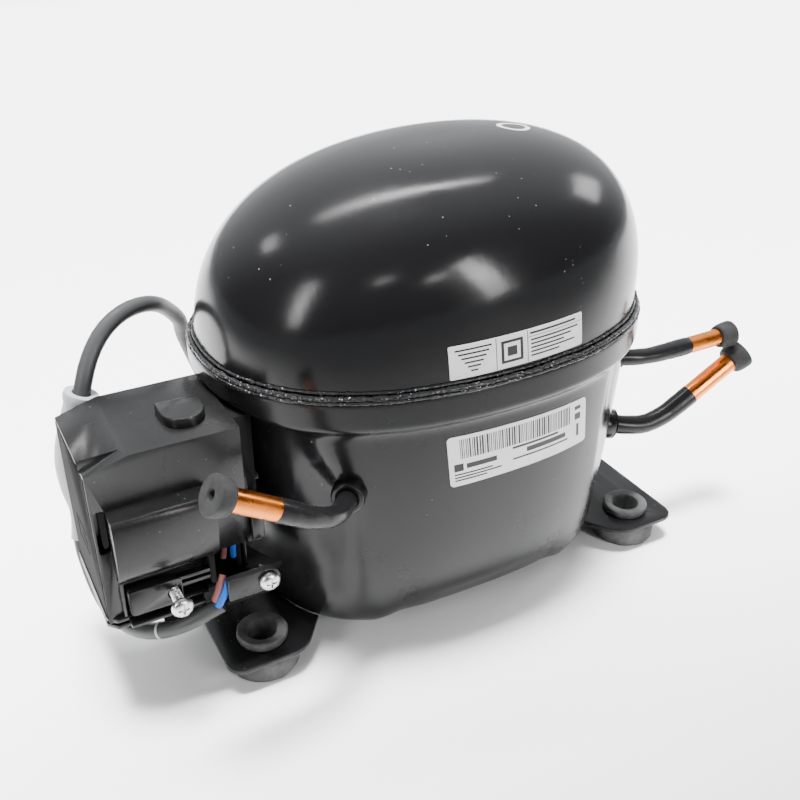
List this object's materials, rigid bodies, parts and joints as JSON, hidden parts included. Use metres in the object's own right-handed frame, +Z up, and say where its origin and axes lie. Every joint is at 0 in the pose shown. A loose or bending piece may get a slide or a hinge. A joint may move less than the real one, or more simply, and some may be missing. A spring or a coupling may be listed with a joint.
{
  "type": "hermetic reciprocating compressor",
  "caption": "Welded black steel refrigeration compressor on rubber feet, with three stub tubes, a boxed starting device, its supply lead, and the pump and motor inside.",
  "frame": {"origin": "centre of the box around the compressor without its supply lead, on the floor under its feet", "axes": "+X along the shell from the starting gear to the suction and discharge tubes, +Z up"},
  "size_m": [0.2877, 0.2254, 0.1784],
  "materials": {
    "black_paint": "gloss black enamel with a faint orange peel",
    "weld_paint": "rough weld bead under gloss black enamel",
    "black_plastic": "satin black moulded plastic",
    "rubber": "matte moulded rubber",
    "copper": "bright copper tube, black enamel up to the masked end",
    "zinc": "zinc plated",
    "steel": "plain steel",
    "cast_iron": "machined grey iron",
    "aluminium": "die cast",
    "enamel_wire": "varnished copper winding",
    "grey_pvc": "grey flexible sheath",
    "light_sleeve": "light grey flexible sleeve",
    "white_plastic": "off-white moulded plastic",
    "brown_wire": "brown insulation",
    "blue_wire": "blue insulation"
  },
  "bodies": {
    "shell": {"base_plate_left": "black_paint", "base_plate_right": "black_paint", "clamp_screw": "zinc", "cord_clamp": "black_plastic", "cord_coil": "grey_pvc", "cord_connector": "white_plastic", "cord_sleeve": "light_sleeve", "cord_strap": "black_plastic", "cord_tray": "black_plastic", "discharge_collar": "black_paint", "discharge_tube": "copper", "electrical_cover": "black_plastic", "grommet_front_left": "rubber", "grommet_front_right": "rubber", "grommet_rear_left": "rubber", "grommet_rear_right": "rubber", "overload_protector": "black_plastic", "process_collar": "black_paint", "process_tube": "copper", "run_capacitor": "white_plastic", "seat_front_left": "white_plastic", "seat_front_right": "white_plastic", "seat_rear_left": "white_plastic", "seat_rear_right": "white_plastic", "shell_lower": "black_paint", "shell_upper": "black_paint", "spring_front_left": "steel", "spring_front_right": "steel", "spring_rear_left": "steel", "spring_rear_right": "steel", "start_relay": "black_plastic", "strap_screw": "zinc", "suction_collar": "black_paint", "suction_tube": "copper", "supply_cord": "grey_pvc", "terminal_body": "steel", "terminal_pin_1": "zinc", "terminal_pin_2": "zinc", "terminal_pin_3": "zinc", "weld_seam": "weld_paint", "wire_blue": "blue_wire", "wire_brown": "brown_wire"},
    "motor_kit": {"crankcase": "cast_iron", "stator_core": "steel", "winding_upper": "enamel_wire", "winding_lower": "enamel_wire", "head_gasket": "black_plastic", "valve_plate": "steel", "cylinder_head": "aluminium", "suction_muffler": "white_plastic", "discharge_line": "copper"},
    "crankshaft": {"crankshaft": "cast_iron", "rotor": "aluminium", "oil_pickup": "steel"},
    "piston": {"piston": "cast_iron", "wrist_pin": "steel"},
    "connecting_rod": {"connecting_rod": "aluminium"},
    "process_plug": {"process_plug": "rubber"},
    "discharge_plug": {"discharge_plug": "rubber"},
    "suction_plug": {"suction_plug": "rubber"}
  },
  "joints": [
    {"name": "suspension_travel", "type": "slide", "parent": "shell", "child": "motor_kit", "axis": [0, 0, 1], "range_m": [-0.0025, 0.0025], "stiffness_N_per_m": 20000, "springref_m": 0.0025, "deforming": ["spring_front_left", "spring_front_right", "spring_rear_left", "spring_rear_right"]},
    {"name": "crankshaft_spin", "type": "hinge", "parent": "motor_kit", "child": "crankshaft", "pos_m": [-0.0167, 0.006, 0.1327], "axis": [0, 0, 1], "continuous": true},
    {"name": "piston_stroke", "type": "slide", "parent": "motor_kit", "child": "piston", "axis": [1, 0, 0], "range_m": [-0.016, 0]},
    {"name": "rod_swing", "type": "hinge", "parent": "piston", "child": "connecting_rod", "pos_m": [0.0313, 0.006, 0.1327], "axis": [0, 0, 1], "range_deg": [-11.5, 11.5]},
    {"name": "process_plug_pull", "type": "slide", "parent": "shell", "child": "process_plug", "axis": [-0.8433, -0.0456, 0.5356], "range_m": [0, 0.02]},
    {"name": "discharge_plug_pull", "type": "slide", "parent": "shell", "child": "discharge_plug", "axis": [0.9982, -0.0222, 0.0555], "range_m": [0, 0.032]},
    {"name": "suction_plug_pull", "type": "slide", "parent": "shell", "child": "suction_plug", "axis": [0.8572, -0.0273, 0.5143], "range_m": [0, 0.012]}
  ]
}
